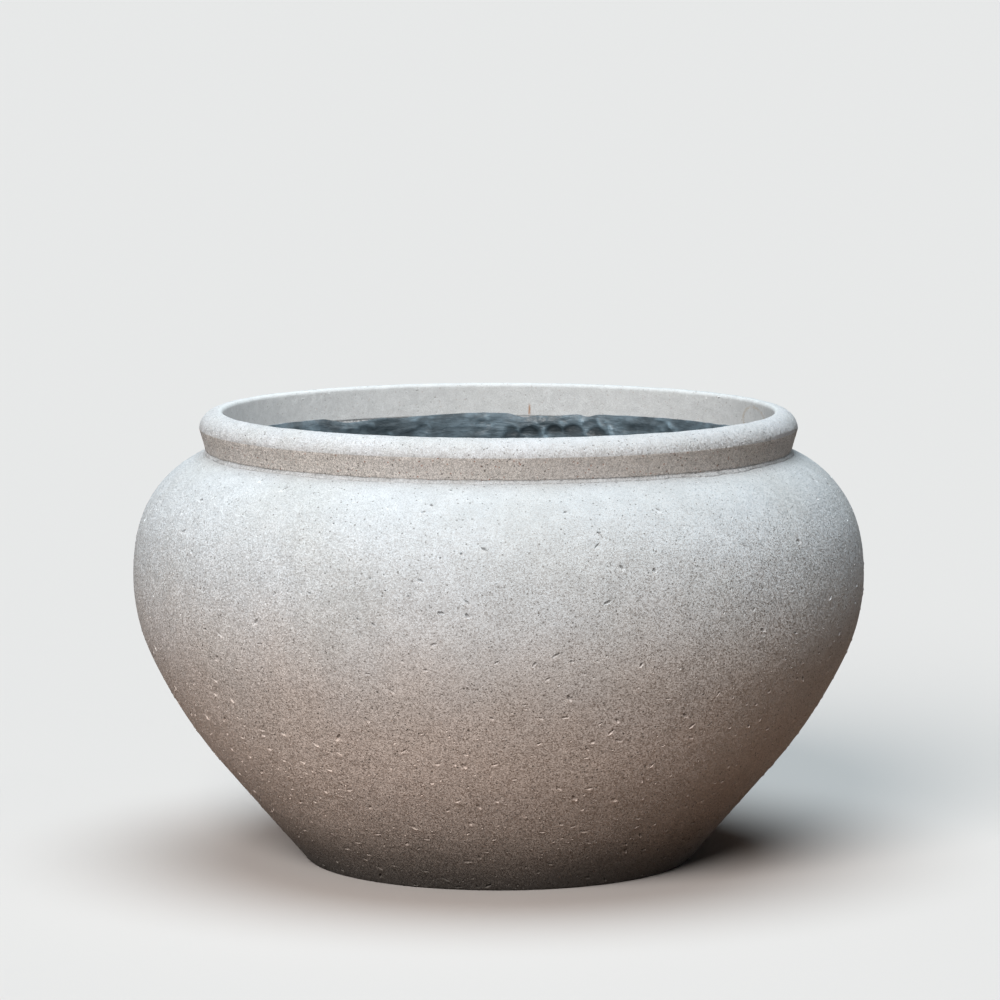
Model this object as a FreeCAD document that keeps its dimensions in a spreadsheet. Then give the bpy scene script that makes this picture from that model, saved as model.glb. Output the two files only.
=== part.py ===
import FreeCAD, Part
import math
import os
from types import SimpleNamespace
import Sketcher

# Driving dimensions in millimetres
dimensions = {
    # outside of the bowl, from the foot up
    "foot_radius": 237,
    "foot_ring_width": 37,
    "foot_recess": 8,
    "foot_round": 4,
    "flank_straight": 161,
    "flank_curve": 580,
    "belly_curve": 234,
    "belly_height": 355,
    "belly_overhang": 90,
    "shoulder_curve": 136,
    "shoulder_rise": 148.3,
    "neck_radius": 360,
    # inside of the bowl
    "wall_thickness": 28,
    "floor_thickness": 40,
    "floor_round": 30,
    "neck_round": 8,
    # stepped joint between neck and collar
    "seat_width": 14,
    "spigot_width": 7.5,
    "spigot_height": 5,
    "bed_thickness": 4,
    "bed_rake": 0.5,
    "fit_gap": 0.3,
    # collar, measured up from the seat on the neck
    "collar_height": 51.7,
    "collar_flare": 7.5,
    "arris_height": 30.2,
    "lip_flat": 1,
    "lip_round": 5,
    # waterproof lining
    "lining_thickness": 3,
    "lining_drop": 38.5,
    # drains through the floor
    "drain_circle": 110,
    "drain_bore": 16,
    "drain_margin": 1.5,
    "sleeve_wall": 2.5,
    "sleeve_brim": 11.5,
    "sleeve_brim_thickness": 3,
    # drain plugs
    "plug_depth": 36,
    "plug_nose": 3,
    "plug_rib": 1.4,
    "plug_rib_height": 5,
    "plug_rib_crest": 1,
    "plug_rib_spacing": 11,
    "plug_brim": 25,
    "plug_brim_thickness": 6,
    "plug_brim_round": 2,
    "plug_stem": 7,
    "plug_stem_height": 7,
    "plug_knob": 12,
    "plug_knob_height": 11,
    "plug_knob_round": 4,
}

# Bearing of each drain around the vertical axis, in degrees
drain_bearings = {"front": 270, "right": 30, "left": 150}
plug_ribs = 2
# How near an edge must lie to the place where it is looked for
edge_tolerance = 0.01


class Size:
    """A length: its number, and the formula that ties it to the sheet."""

    def __init__(self, value, formula):
        self.value = value
        self.formula = formula

    def __add__(self, other):
        return Size(self.value + other.value, f"({self.formula} + {other.formula})")

    def __sub__(self, other):
        return Size(self.value - other.value, f"({self.formula} - {other.formula})")

    def __mul__(self, factor):
        return Size(self.value * factor, f"({self.formula} * {factor})")


doc = FreeCAD.newDocument("vase_planter")
sheet = doc.addObject("Spreadsheet::Sheet", "sizes")
for row, (alias, number) in enumerate(dimensions.items(), 1):
    sheet.set(f"A{row}", alias)
    sheet.set(f"B{row}", str(number))
    sheet.setAlias(f"B{row}", alias)
doc.recompute()

size = SimpleNamespace(
    **{alias: Size(number, f"sizes.{alias}") for alias, number in dimensions.items()}
)

# Radii and heights that follow from the driving dimensions
nothing = Size(0, "0")
belly_radius = size.neck_radius + size.belly_overhang
seat_height = size.belly_height + size.shoulder_rise
floor_height = size.foot_recess + size.floor_thickness
spigot_radius = size.neck_radius - size.seat_width
mouth_radius = spigot_radius - size.spigot_width
spigot_top = seat_height + size.spigot_height
collar_foot = seat_height + size.bed_thickness
rebate_radius = spigot_radius + size.bed_thickness
rebate_top = spigot_top + size.bed_thickness
arris_radius = size.neck_radius + size.collar_flare
arris_height = seat_height + size.arris_height
lip_height = seat_height + size.collar_height
lining_inset = size.fit_gap + size.lining_thickness
lining_top = lip_height - size.lining_drop
lining_floor = floor_height + lining_inset
sleeve_radius = size.drain_bore + size.sleeve_wall
brim_radius = sleeve_radius + size.sleeve_brim


def point(radius, height):
    """A point of a section, from its distance to the axis and its height."""
    return FreeCAD.Vector(radius.value, height.value, 0)


def bearing(start, end):
    """The angle of the line from one point to another."""
    return math.atan2(end.y - start.y, end.x - start.x)


def polar(centre, reach, angle):
    """The point at a distance and an angle from a centre."""
    return centre + FreeCAD.Vector(reach * math.cos(angle), reach * math.sin(angle), 0)


def meet(first, first_reach, second, second_reach, side):
    """The point at given distances from two others, left (1) or right (-1) of the line between them."""
    span = second - first
    along = (first_reach**2 - second_reach**2 + span.Length**2) / (2 * span.Length)
    across = math.sqrt(first_reach**2 - along**2)
    return polar(first, first_reach, bearing(first, second) + side * math.atan2(across, along))


# The bowl's outer wall is a straight flank and three arcs, each tangent to the next
foot = point(size.foot_radius, nothing)
neck = point(size.neck_radius, seat_height)
belly_centre = point(belly_radius - size.belly_curve, size.belly_height)
shoulder_step = (size.belly_curve - size.shoulder_curve).value
shoulder_centre = meet(belly_centre, shoulder_step, neck, size.shoulder_curve.value, -1)
flank_step = (size.flank_curve - size.belly_curve).value
flank_reach = math.hypot(size.flank_straight.value, size.flank_curve.value)
flank_centre = meet(foot, flank_reach, belly_centre, flank_step, 1)
flank_slope = bearing(foot, flank_centre) - math.atan2(size.flank_curve.value, size.flank_straight.value)
flank_normal = flank_slope - math.pi / 2
flank_end = bearing(flank_centre, belly_centre)
belly_end = bearing(belly_centre, shoulder_centre)
shoulder_end = bearing(shoulder_centre, neck)


def new_body(name):
    """A body with the name of its piece."""
    body = doc.addObject("PartDesign::Body", name)
    body.Label = name
    return body


def new_sketch(body, name, role="XZ_Plane"):
    """A sketch on one of the body's own origin planes."""
    sketch = body.newObject("Sketcher::SketchObject", name)
    plane = next(item for item in body.Origin.OriginFeatures if item.Role == role)
    sketch.AttachmentSupport = [(plane, "")]
    sketch.MapMode = "FlatFace"
    return sketch


def add_line(sketch, start, end, construction=False):
    return sketch.addGeometry(Part.LineSegment(start, end), construction)


def add_arc(sketch, centre, radius, start, end, construction=False):
    circle = Part.Circle(centre, FreeCAD.Vector(0, 0, 1), radius)
    return sketch.addGeometry(Part.ArcOfCircle(circle, start, end), construction)


def relate(sketch, kind, *references):
    sketch.addConstraint(Sketcher.Constraint(kind, *references))


def dimension(sketch, kind, references, value, formula):
    """Add a dimension whose value follows the sheet."""
    index = sketch.addConstraint(Sketcher.Constraint(kind, *references, value))
    sketch.setExpression(f"Constraints[{index}]", formula)


def set_radius(sketch, arc, radius):
    dimension(sketch, "Radius", (arc,), radius.value, radius.formula)


def place(sketch, item, end, radius=None, height=None):
    """Fix a sketch point by its distance from the axis, its height or both."""
    for reach, kind, axis in ((radius, "DistanceX", -2), (height, "DistanceY", -1)):
        if reach is nothing:
            relate(sketch, "PointOnObject", item, end, axis)
        elif reach is not None:
            dimension(sketch, kind, (-1, 1, item, end), reach.value, reach.formula)


def draw_outline(sketch, corners):
    """Draw a closed outline with a straight side between each two corners, all of them dimensioned."""
    ends = corners[1:] + corners[:1]
    sides = [add_line(sketch, point(*start), point(*end)) for start, end in zip(corners, ends)]
    for side, after, corner in zip(sides, sides[1:] + sides[:1], ends):
        relate(sketch, "Coincident", side, 2, after, 1)
        place(sketch, after, 1, *corner)


def draw_wall(sketch, construction=False):
    """Draw the bowl's outer wall from foot to neck."""
    turn = polar(foot, size.flank_straight.value, flank_slope)
    flank = add_line(sketch, foot, turn, construction)
    curves = (
        (flank_centre, size.flank_curve, flank_normal, flank_end),
        (belly_centre, size.belly_curve, flank_end, belly_end),
        (shoulder_centre, size.shoulder_curve, belly_end, shoulder_end),
    )
    sides = [flank]
    for centre, radius, start, end in curves:
        arc = add_arc(sketch, centre, radius.value, start, end, construction)
        relate(sketch, "Tangent", sides[-1], 2, arc, 1)
        set_radius(sketch, arc, radius)
        sides.append(arc)
    place(sketch, flank, 1, size.foot_radius, nothing)
    dimension(sketch, "Distance", (flank,), size.flank_straight.value, size.flank_straight.formula)
    place(sketch, sides[2], 3, belly_radius - size.belly_curve, size.belly_height)
    place(sketch, sides[3], 2, size.neck_radius, seat_height)
    return sides


def draw_inside(sketch, wall, skin, top):
    """Draw the inside from the axis to a height at the mouth, a skin's depth in from the stone."""
    flank, *outer_arcs = wall
    inset = size.wall_thickness + skin
    corner_radius = size.floor_round - skin
    neck_radius = size.neck_round + skin
    level = floor_height + skin
    mouth = mouth_radius - skin

    # the fillet between floor and flank, and the round under the neck
    depth = (size.wall_thickness + size.floor_round).value
    corner_height = (floor_height + size.floor_round).value
    along = (corner_height - depth * math.cos(flank_slope)) / math.sin(flank_slope)
    corner_centre = polar(polar(foot, along, flank_slope), -depth, flank_normal)
    neck_reach = (size.shoulder_curve - size.wall_thickness + size.neck_round).value
    neck_offset = (mouth_radius + size.neck_round).value - shoulder_centre.x
    neck_angle = math.acos(neck_offset / neck_reach)
    neck_centre = polar(shoulder_centre, neck_reach, neck_angle)

    floor_end = FreeCAD.Vector(corner_centre.x, level.value, 0)
    floor = add_line(sketch, point(nothing, level), floor_end)
    corner = add_arc(sketch, corner_centre, corner_radius.value, -math.pi / 2, flank_normal)
    slope_start = polar(corner_centre, corner_radius.value, flank_normal)
    slope_end = polar(flank_centre, (size.flank_curve - inset).value, flank_normal)
    slope = add_line(sketch, slope_start, slope_end)
    relate(sketch, "Horizontal", floor)
    place(sketch, floor, 1, nothing, level)
    relate(sketch, "Tangent", floor, 2, corner, 1)
    set_radius(sketch, corner, corner_radius)
    relate(sketch, "Tangent", corner, 2, slope, 1)
    relate(sketch, "Parallel", slope, flank)

    # arcs on the centres of the outer wall
    curves = (
        (flank_centre, size.flank_curve, flank_normal, flank_end),
        (belly_centre, size.belly_curve, flank_end, belly_end),
        (shoulder_centre, size.shoulder_curve, belly_end, neck_angle),
    )
    before = slope
    for (centre, radius, start, end), outer in zip(curves, outer_arcs):
        arc = add_arc(sketch, centre, (radius - inset).value, start, end)
        relate(sketch, "Coincident", arc, 3, outer, 3)
        relate(sketch, "Tangent", before, 2, arc, 1)
        if radius is size.belly_curve:
            set_radius(sketch, arc, radius - inset)
        before = arc

    under_neck = add_arc(sketch, neck_centre, neck_radius.value, math.pi, math.pi + neck_angle)
    upright_start = polar(neck_centre, neck_radius.value, math.pi)
    upright = add_line(sketch, upright_start, point(mouth, top))
    relate(sketch, "Tangent", before, 2, under_neck, 2)
    set_radius(sketch, under_neck, neck_radius)
    relate(sketch, "Tangent", under_neck, 1, upright, 1)
    relate(sketch, "Vertical", upright)
    place(sketch, upright, 2, mouth, top)
    return floor, upright


def revolve(body, name, sketch, kind="PartDesign::Revolution"):
    """Turn a section a full turn about the vertical axis, to add or to cut."""
    feature = body.newObject(kind, name)
    feature.Profile = sketch
    feature.ReferenceAxis = (sketch, ["V_Axis"])
    feature.Angle = 360
    doc.recompute()
    return feature


def check_cut(feature):
    """Stop if a cut took nothing away."""
    if feature.Shape.Volume >= feature.BaseFeature.Shape.Volume:
        raise RuntimeError(f"{feature.Label} cuts nothing")


def round_edge(body, name, base, radius, edge_radius, edge_height):
    """Round the circular edge that lies at a radius and a height."""
    names = []
    for index, edge in enumerate(base.Shape.Edges, 1):
        if not isinstance(edge.Curve, Part.Circle):
            continue
        off_radius = abs(edge.Curve.Radius - edge_radius.value)
        off_height = abs(edge.Curve.Center.z - edge_height.value)
        if max(off_radius, off_height) < edge_tolerance:
            names.append(f"Edge{index}")
    fillet = body.newObject("PartDesign::Fillet", name)
    fillet.Base = (base, names)
    fillet.Radius = radius.value
    fillet.setExpression("Radius", radius.formula)
    doc.recompute()
    return fillet


def repeat_drains(body, name, feature, sketch):
    """Repeat a cut at every drain."""
    pattern = body.newObject("PartDesign::PolarPattern", name)
    pattern.Originals = [feature]
    pattern.Axis = (sketch, ["N_Axis"])
    pattern.Angle = 360
    pattern.Occurrences = len(drain_bearings)
    body.Tip = pattern
    doc.recompute()
    check_cut(pattern)


def drain_sketch(body, name, radius, height):
    """The circle of the front drain, at a height inside the bowl."""
    sketch = new_sketch(body, name, "XY_Plane")
    sketch.AttachmentOffset.Base.z = height.value
    sketch.setExpression("AttachmentOffset.Base.z", height.formula)
    centre = FreeCAD.Vector(0, -size.drain_circle.value, 0)
    circle = sketch.addGeometry(Part.Circle(centre, FreeCAD.Vector(0, 0, 1), radius.value), False)
    relate(sketch, "PointOnObject", circle, 3, -2)
    dimension(sketch, "DistanceY", (circle, 3, -1, 1), size.drain_circle.value, size.drain_circle.formula)
    set_radius(sketch, circle, radius)
    doc.recompute()
    return sketch


def make_bowl():
    """The cast bowl: a turned blank, hollowed, with counterbored drain holes."""
    body = new_body("bowl_shell")
    section = new_sketch(body, "bowl_section")
    flank, _, _, shoulder = draw_wall(section)
    recess_edge = size.foot_radius - size.foot_ring_width
    corners = (
        (size.neck_radius, seat_height),
        (spigot_radius, seat_height),
        (spigot_radius, spigot_top),
        (nothing, spigot_top),
        (nothing, size.foot_recess),
        (recess_edge - size.foot_recess, size.foot_recess),
        (recess_edge, nothing),
        (size.foot_radius, nothing),
    )
    before = shoulder
    for start, end in zip(corners, corners[1:]):
        side = add_line(section, point(*start), point(*end))
        relate(section, "Coincident", before, 2, side, 1)
        if before is not shoulder:
            place(section, side, 1, *start)
        before = side
    relate(section, "Coincident", before, 2, flank, 1)
    blank = revolve(body, "bowl_blank", section)
    round_edge(body, "foot_edge", blank, size.foot_round, size.foot_radius, nothing)

    inside = new_sketch(body, "hollow_section")
    floor, upright = draw_inside(inside, draw_wall(inside, True), nothing, spigot_top)
    lid = add_line(inside, point(mouth_radius, spigot_top), point(nothing, spigot_top))
    axis = add_line(inside, point(nothing, spigot_top), point(nothing, floor_height))
    relate(inside, "Coincident", upright, 2, lid, 1)
    relate(inside, "Coincident", lid, 2, axis, 1)
    relate(inside, "Coincident", axis, 2, floor, 1)
    place(inside, axis, 1, nothing, spigot_top)
    hollow = revolve(body, "bowl_hollow", inside, "PartDesign::Groove")
    check_cut(hollow)

    circle = drain_sketch(body, "drain_place", sleeve_radius + size.fit_gap, floor_height)
    hole = body.newObject("PartDesign::Hole", "drain_hole")
    hole.Profile = circle
    hole.DepthType = "ThroughAll"
    hole.HoleCutType = "Counterbore"
    hole.setExpression("Diameter", ((sleeve_radius + size.fit_gap) * 2).formula)
    hole.setExpression("HoleCutDiameter", ((brim_radius + size.fit_gap) * 2).formula)
    hole.setExpression("HoleCutDepth", size.sleeve_brim_thickness.formula)
    doc.recompute()
    check_cut(hole)
    repeat_drains(body, "drain_holes", hole, circle)
    return body


def make_collar():
    """The lip ring: a rounded crown over a hard outer edge, rebated to sit over the neck's spigot."""
    body = new_body("rim_collar")
    section = new_sketch(body, "collar_section")
    crown_radius = mouth_radius + size.lip_round + size.lip_flat
    corners = (
        (crown_radius, lip_height),
        (mouth_radius, lip_height),
        (mouth_radius, rebate_top),
        (rebate_radius, rebate_top),
        (rebate_radius, collar_foot),
        (size.neck_radius, collar_foot),
        (arris_radius, arris_height),
    )
    sides = [add_line(section, point(*start), point(*end)) for start, end in zip(corners, corners[1:])]
    for side, after in zip(sides, sides[1:]):
        relate(section, "Coincident", side, 2, after, 1)
    for side, corner in zip(sides, corners):
        place(section, side, 1, *corner)
    place(section, sides[-1], 2, *corners[-1])

    # the crown is an arc from the hard edge that runs level into the top of the lip
    reach = (arris_radius - crown_radius).value
    rise = (lip_height - arris_height).value
    crown_curve = (reach**2 + rise**2) / (2 * rise)
    centre = point(crown_radius, lip_height) - FreeCAD.Vector(0, crown_curve, 0)
    start = bearing(centre, point(arris_radius, arris_height))
    crown = add_arc(section, centre, crown_curve, start, math.pi / 2)
    relate(section, "Coincident", crown, 1, sides[-1], 2)
    relate(section, "Tangent", crown, 2, sides[0], 1)
    ring = revolve(body, "collar_ring", section)
    round_edge(body, "lip_edge", ring, size.lip_round, mouth_radius, lip_height)
    return body


def make_bedding():
    """The mortar bed that fills the stepped joint, raked back a little at its outer edge."""
    body = new_body("collar_bedding")
    section = new_sketch(body, "bedding_section")
    inner = mouth_radius + size.fit_gap
    step = spigot_radius + size.fit_gap
    riser = rebate_radius - size.fit_gap
    outer = size.neck_radius - size.bed_rake
    corners = [
        (step, seat_height),
        (outer, seat_height),
        (outer, collar_foot),
        (riser, collar_foot),
        (riser, rebate_top),
        (inner, rebate_top),
        (inner, spigot_top),
        (step, spigot_top),
    ]
    draw_outline(section, corners)
    revolve(body, "bedding_ring", section)
    return body


def make_lining():
    """The waterproof coat on floor and wall, lapped over the collar joint and open at the drains."""
    body = new_body("inner_lining")
    section = new_sketch(body, "lining_section")
    wall = draw_wall(section, True)
    outer_floor, outer_upright = draw_inside(section, wall, size.fit_gap, lining_top)
    inner_floor, inner_upright = draw_inside(section, wall, lining_inset, lining_top)
    outer_edge = point(mouth_radius - size.fit_gap, lining_top)
    inner_edge = point(mouth_radius - lining_inset, lining_top)
    edge = add_line(section, outer_edge, inner_edge)
    axis = add_line(section, point(nothing, floor_height + size.fit_gap), point(nothing, lining_floor))
    relate(section, "Coincident", outer_upright, 2, edge, 1)
    relate(section, "Coincident", inner_upright, 2, edge, 2)
    relate(section, "Coincident", outer_floor, 1, axis, 1)
    relate(section, "Coincident", inner_floor, 1, axis, 2)
    revolve(body, "lining_coat", section)

    circle = drain_sketch(body, "lining_drain", size.drain_bore + size.drain_margin, lining_floor)
    opening = body.newObject("PartDesign::Pocket", "lining_opening")
    opening.Profile = circle
    opening.Type = "ThroughAll"
    doc.recompute()
    check_cut(opening)
    repeat_drains(body, "lining_openings", opening, circle)
    return body


def stand_at_drain(body, angle):
    """Move a drain piece to its hole."""
    body.setExpression("Placement.Base.x", f"{size.drain_circle.formula} * cos({angle} deg)")
    body.setExpression("Placement.Base.y", f"{size.drain_circle.formula} * sin({angle} deg)")


def make_sleeve(name, angle):
    """A tube through the floor, with a brim let in flush under the lining."""
    body = new_body(f"drain_sleeve_{name}")
    section = new_sketch(body, f"sleeve_section_{name}")
    under_brim = floor_height - size.sleeve_brim_thickness
    corners = [
        (size.drain_bore, size.foot_recess),
        (sleeve_radius, size.foot_recess),
        (sleeve_radius, under_brim),
        (brim_radius, under_brim),
        (brim_radius, floor_height),
        (size.drain_bore, floor_height),
    ]
    draw_outline(section, corners)
    revolve(body, f"sleeve_tube_{name}", section)
    stand_at_drain(body, angle)
    return body


def make_plug(name, angle):
    """A ribbed bung that hangs by its brim on the lining and is pulled by its knob."""
    body = new_body(f"drain_plug_{name}")
    section = new_sketch(body, f"plug_section_{name}")
    rib_radius = size.drain_bore - size.fit_gap
    core_radius = rib_radius - size.plug_rib
    tip = lining_floor - size.plug_depth
    shank = tip + size.plug_nose
    brim_top = lining_floor + size.plug_brim_thickness
    knob_foot = brim_top + size.plug_stem_height
    knob_top = knob_foot + size.plug_knob_height
    corners = [(nothing, tip), (core_radius - size.plug_nose, tip), (core_radius, shank)]
    rib_slope = (size.plug_rib_height - size.plug_rib_crest) * 0.5
    for rib in range(plug_ribs):
        rib_foot = shank + size.plug_nose + size.plug_rib_spacing * rib
        crest_foot = rib_foot + rib_slope
        crest_top = crest_foot + size.plug_rib_crest
        corners.append((core_radius, rib_foot))
        corners.append((rib_radius, crest_foot))
        corners.append((rib_radius, crest_top))
        corners.append((core_radius, crest_top + rib_slope))
    corners.append((core_radius, lining_floor))
    corners.append((size.plug_brim, lining_floor))
    corners.append((size.plug_brim, brim_top))
    corners.append((size.plug_stem, brim_top))
    corners.append((size.plug_stem, knob_foot))
    corners.append((size.plug_knob, knob_foot))
    corners.append((size.plug_knob, knob_top))
    corners.append((nothing, knob_top))
    draw_outline(section, corners)
    bung = revolve(body, f"plug_bung_{name}", section)
    soft = round_edge(body, f"brim_edge_{name}", bung, size.plug_brim_round, size.plug_brim, brim_top)
    round_edge(body, f"knob_edge_{name}", soft, size.plug_knob_round, size.plug_knob, knob_top)
    stand_at_drain(body, angle)
    return body


pieces = [make_bowl(), make_collar(), make_bedding(), make_lining()]
for drain_name, drain_angle in drain_bearings.items():
    pieces.append(make_sleeve(drain_name, drain_angle))
    pieces.append(make_plug(drain_name, drain_angle))
doc.recompute()

for item in doc.Objects:
    if "Invalid" in item.State or "Error" in item.State:
        raise RuntimeError(f"{item.Label} did not rebuild")
for piece in pieces:
    if piece.Shape.isNull() or not piece.Shape.isValid() or len(piece.Shape.Solids) != 1:
        raise RuntimeError(f"{piece.Label} is not one sound solid")

os.makedirs("parts", exist_ok=True)
for piece in pieces:
    piece.Shape.exportStep(f"parts/{piece.Label}.step")
    box = piece.Shape.BoundBox
    print(piece.Label, f"{piece.Shape.Volume / 1000:.1f} cm3", f"z {box.ZMin:.1f} to {box.ZMax:.1f}")
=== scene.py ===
import bisect
import bmesh
import bpy
import random
from collections import namedtuple
from functools import partialmethod
from math import acos, atan2, ceil, cos, degrees, dist, exp, hypot, pi, radians, sin, sqrt, tan, tau
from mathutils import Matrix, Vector, noise


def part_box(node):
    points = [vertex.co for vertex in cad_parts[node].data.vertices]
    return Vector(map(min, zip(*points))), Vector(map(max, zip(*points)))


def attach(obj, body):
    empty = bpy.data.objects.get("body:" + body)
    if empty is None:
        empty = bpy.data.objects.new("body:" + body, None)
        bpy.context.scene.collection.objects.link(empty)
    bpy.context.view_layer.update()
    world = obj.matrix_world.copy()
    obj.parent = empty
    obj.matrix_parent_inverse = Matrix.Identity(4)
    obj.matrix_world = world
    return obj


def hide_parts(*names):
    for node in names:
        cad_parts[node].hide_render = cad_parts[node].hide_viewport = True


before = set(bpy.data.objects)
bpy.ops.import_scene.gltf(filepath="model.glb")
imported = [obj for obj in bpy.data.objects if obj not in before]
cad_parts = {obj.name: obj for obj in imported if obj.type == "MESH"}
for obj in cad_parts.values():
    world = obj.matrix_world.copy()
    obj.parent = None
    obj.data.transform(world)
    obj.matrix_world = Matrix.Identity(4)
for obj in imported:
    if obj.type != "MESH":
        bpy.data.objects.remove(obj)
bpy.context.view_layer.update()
print("frame loaded:", ", ".join(sorted(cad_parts)))

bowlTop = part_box("bowl_shell")[1]
collarLow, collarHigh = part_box("rim_collar")
bedLow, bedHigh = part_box("collar_bedding")
liningLow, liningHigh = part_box("inner_lining")
drainBodies = ("front", "right", "left")


# Sections: points (radius, height) in metres, arcs sampled at a spacing

def along(start, reach, angle):
    return (start[0] + reach * cos(angle), start[1] + reach * sin(angle))


def angleTo(start, end):
    return atan2(end[1] - start[1], end[0] - start[0])


def between(start, end, share):
    return tuple(first + (second - first) * share for first, second in zip(start, end))


def clamped(value):
    return min(max(value, 0.0), 1.0)


def meetPoint(first, firstReach, second, secondReach, side):
    span = dist(first, second)
    share = (firstReach**2 - secondReach**2 + span**2) / (2 * span)
    return along(first, firstReach, angleTo(first, second) + side * acos(share / firstReach))


def arcRun(centre, radius, start, end, spacing):
    steps = max(2, ceil(abs(end - start) * radius / spacing))
    return [along(centre, radius, start + (end - start) * k / steps) for k in range(steps + 1)]


def lineRun(start, end, spacing):
    steps = max(1, ceil(dist(start, end) / spacing))
    return [between(start, end, k / steps) for k in range(steps + 1)]


def ringPairs(ring):
    return [(ring[k - 1], ring[k]) for k in range(len(ring))]


def joinRuns(*runs):
    samePoint = 1e-6
    joined = []
    for run in runs:
        for spot in run:
            if not joined or dist(joined[-1], spot) > samePoint:
                joined.append(spot)
    return joined


# The bowl's wall: a straight flank and three arcs, each tangent to the next

bowlForm = dict(
    footRadius=0.237, footRingWidth=0.037, footRecess=0.008, footRound=0.004,
    flankStraight=0.161, flankCurve=0.580, bellyCurve=0.234, bellyHeight=0.355, shoulderCurve=0.136,
    neckRadius=0.360, spigotRadius=0.346, mouthRadius=0.3385, wall=0.028,
    floorHeight=0.048, floorRound=0.030, neckRound=0.008,
    drainHole=0.0188, drainRecess=0.0303, drainRecessDepth=0.003, recessSpacing=0.01,
    footSpacing=0.012, roundSpacing=0.0015, neckSpacing=0.006, spigotSpacing=0.008,
)
flankCurve = bowlForm["flankCurve"]
bellyCurve = bowlForm["bellyCurve"]
shoulderCurve = bowlForm["shoulderCurve"]
neckRadius = bowlForm["neckRadius"]
mouthRadius = bowlForm["mouthRadius"]
seatHeight = bedLow.z
footPoint = (bowlForm["footRadius"], 0.0)
neckPoint = (neckRadius, seatHeight)
bellyCentre = (bowlTop.x - bellyCurve, bowlForm["bellyHeight"])
shoulderCentre = meetPoint(bellyCentre, bellyCurve - shoulderCurve, neckPoint, shoulderCurve, -1)
flankReach = hypot(bowlForm["flankStraight"], flankCurve)
flankCentre = meetPoint(footPoint, flankReach, bellyCentre, flankCurve - bellyCurve, 1)
flankSlope = angleTo(footPoint, flankCentre) - atan2(flankCurve, bowlForm["flankStraight"])
flankNormal = flankSlope - pi / 2
flankEnd = angleTo(flankCentre, bellyCentre)
bellyEnd = angleTo(bellyCentre, shoulderCentre)
shoulderEnd = angleTo(shoulderCentre, neckPoint)
ringInner = bowlForm["footRadius"] - bowlForm["footRingWidth"]
recessTop = (ringInner - bowlForm["footRecess"], bowlForm["footRecess"])


def wallArcs(inset, shoulderStop, spacing):
    arcs = (
        (flankCentre, flankCurve, flankNormal, flankEnd),
        (bellyCentre, bellyCurve, flankEnd, bellyEnd),
        (shoulderCentre, shoulderCurve, bellyEnd, shoulderStop),
    )
    return [arcRun(centre, curve - inset, start, stop, spacing) for centre, curve, start, stop in arcs]


def outsideRun(spacing):
    form = bowlForm
    rounding = form["footRound"]
    roundStart = along(footPoint, rounding * tan(flankSlope / 2), flankSlope)
    roundCentre = along(roundStart, -rounding, flankNormal)
    straightEnd = along(footPoint, form["flankStraight"], flankSlope)
    spigotFoot = (form["spigotRadius"], seatHeight)
    return joinRuns(
        lineRun(recessTop, (ringInner, 0.0), form["recessSpacing"]),
        lineRun((ringInner, 0.0), (roundCentre[0], 0.0), form["footSpacing"]),
        arcRun(roundCentre, rounding, -pi / 2, flankNormal, form["roundSpacing"]),
        lineRun(roundStart, straightEnd, spacing),
        *wallArcs(0.0, shoulderEnd, spacing),
        lineRun(neckPoint, spigotFoot, form["neckSpacing"]),
        lineRun(spigotFoot, (spigotFoot[0], bowlTop.z), form["spigotSpacing"]),
    )


def insideRun(skin, top, spacing, topSpacing):
    form = bowlForm
    inset = form["wall"] + skin
    depth = form["wall"] + form["floorRound"]
    cornerHeight = form["floorHeight"] + form["floorRound"]
    reach = (cornerHeight - depth * cos(flankSlope)) / sin(flankSlope)
    cornerCentre = along(along(footPoint, reach, flankSlope), -depth, flankNormal)
    cornerRadius = form["floorRound"] - skin
    neckReach = shoulderCurve - form["wall"] + form["neckRound"]
    neckAngle = acos((mouthRadius + form["neckRound"] - shoulderCentre[0]) / neckReach)
    neckCentre = along(shoulderCentre, neckReach, neckAngle)
    neckCurve = form["neckRound"] + skin
    slopeStart = along(cornerCentre, cornerRadius, flankNormal)
    slopeEnd = along(flankCentre, flankCurve - inset, flankNormal)
    upright = along(neckCentre, neckCurve, pi)
    return joinRuns(
        arcRun(cornerCentre, cornerRadius, -pi / 2, flankNormal, spacing),
        lineRun(slopeStart, slopeEnd, spacing),
        *wallArcs(inset, neckAngle, spacing),
        arcRun(neckCentre, neckCurve, pi + neckAngle, pi, topSpacing),
        lineRun(upright, (upright[0], top), topSpacing),
    )


# A turned skin: a section carried round the axis, with its own unevenness and pits

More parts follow.
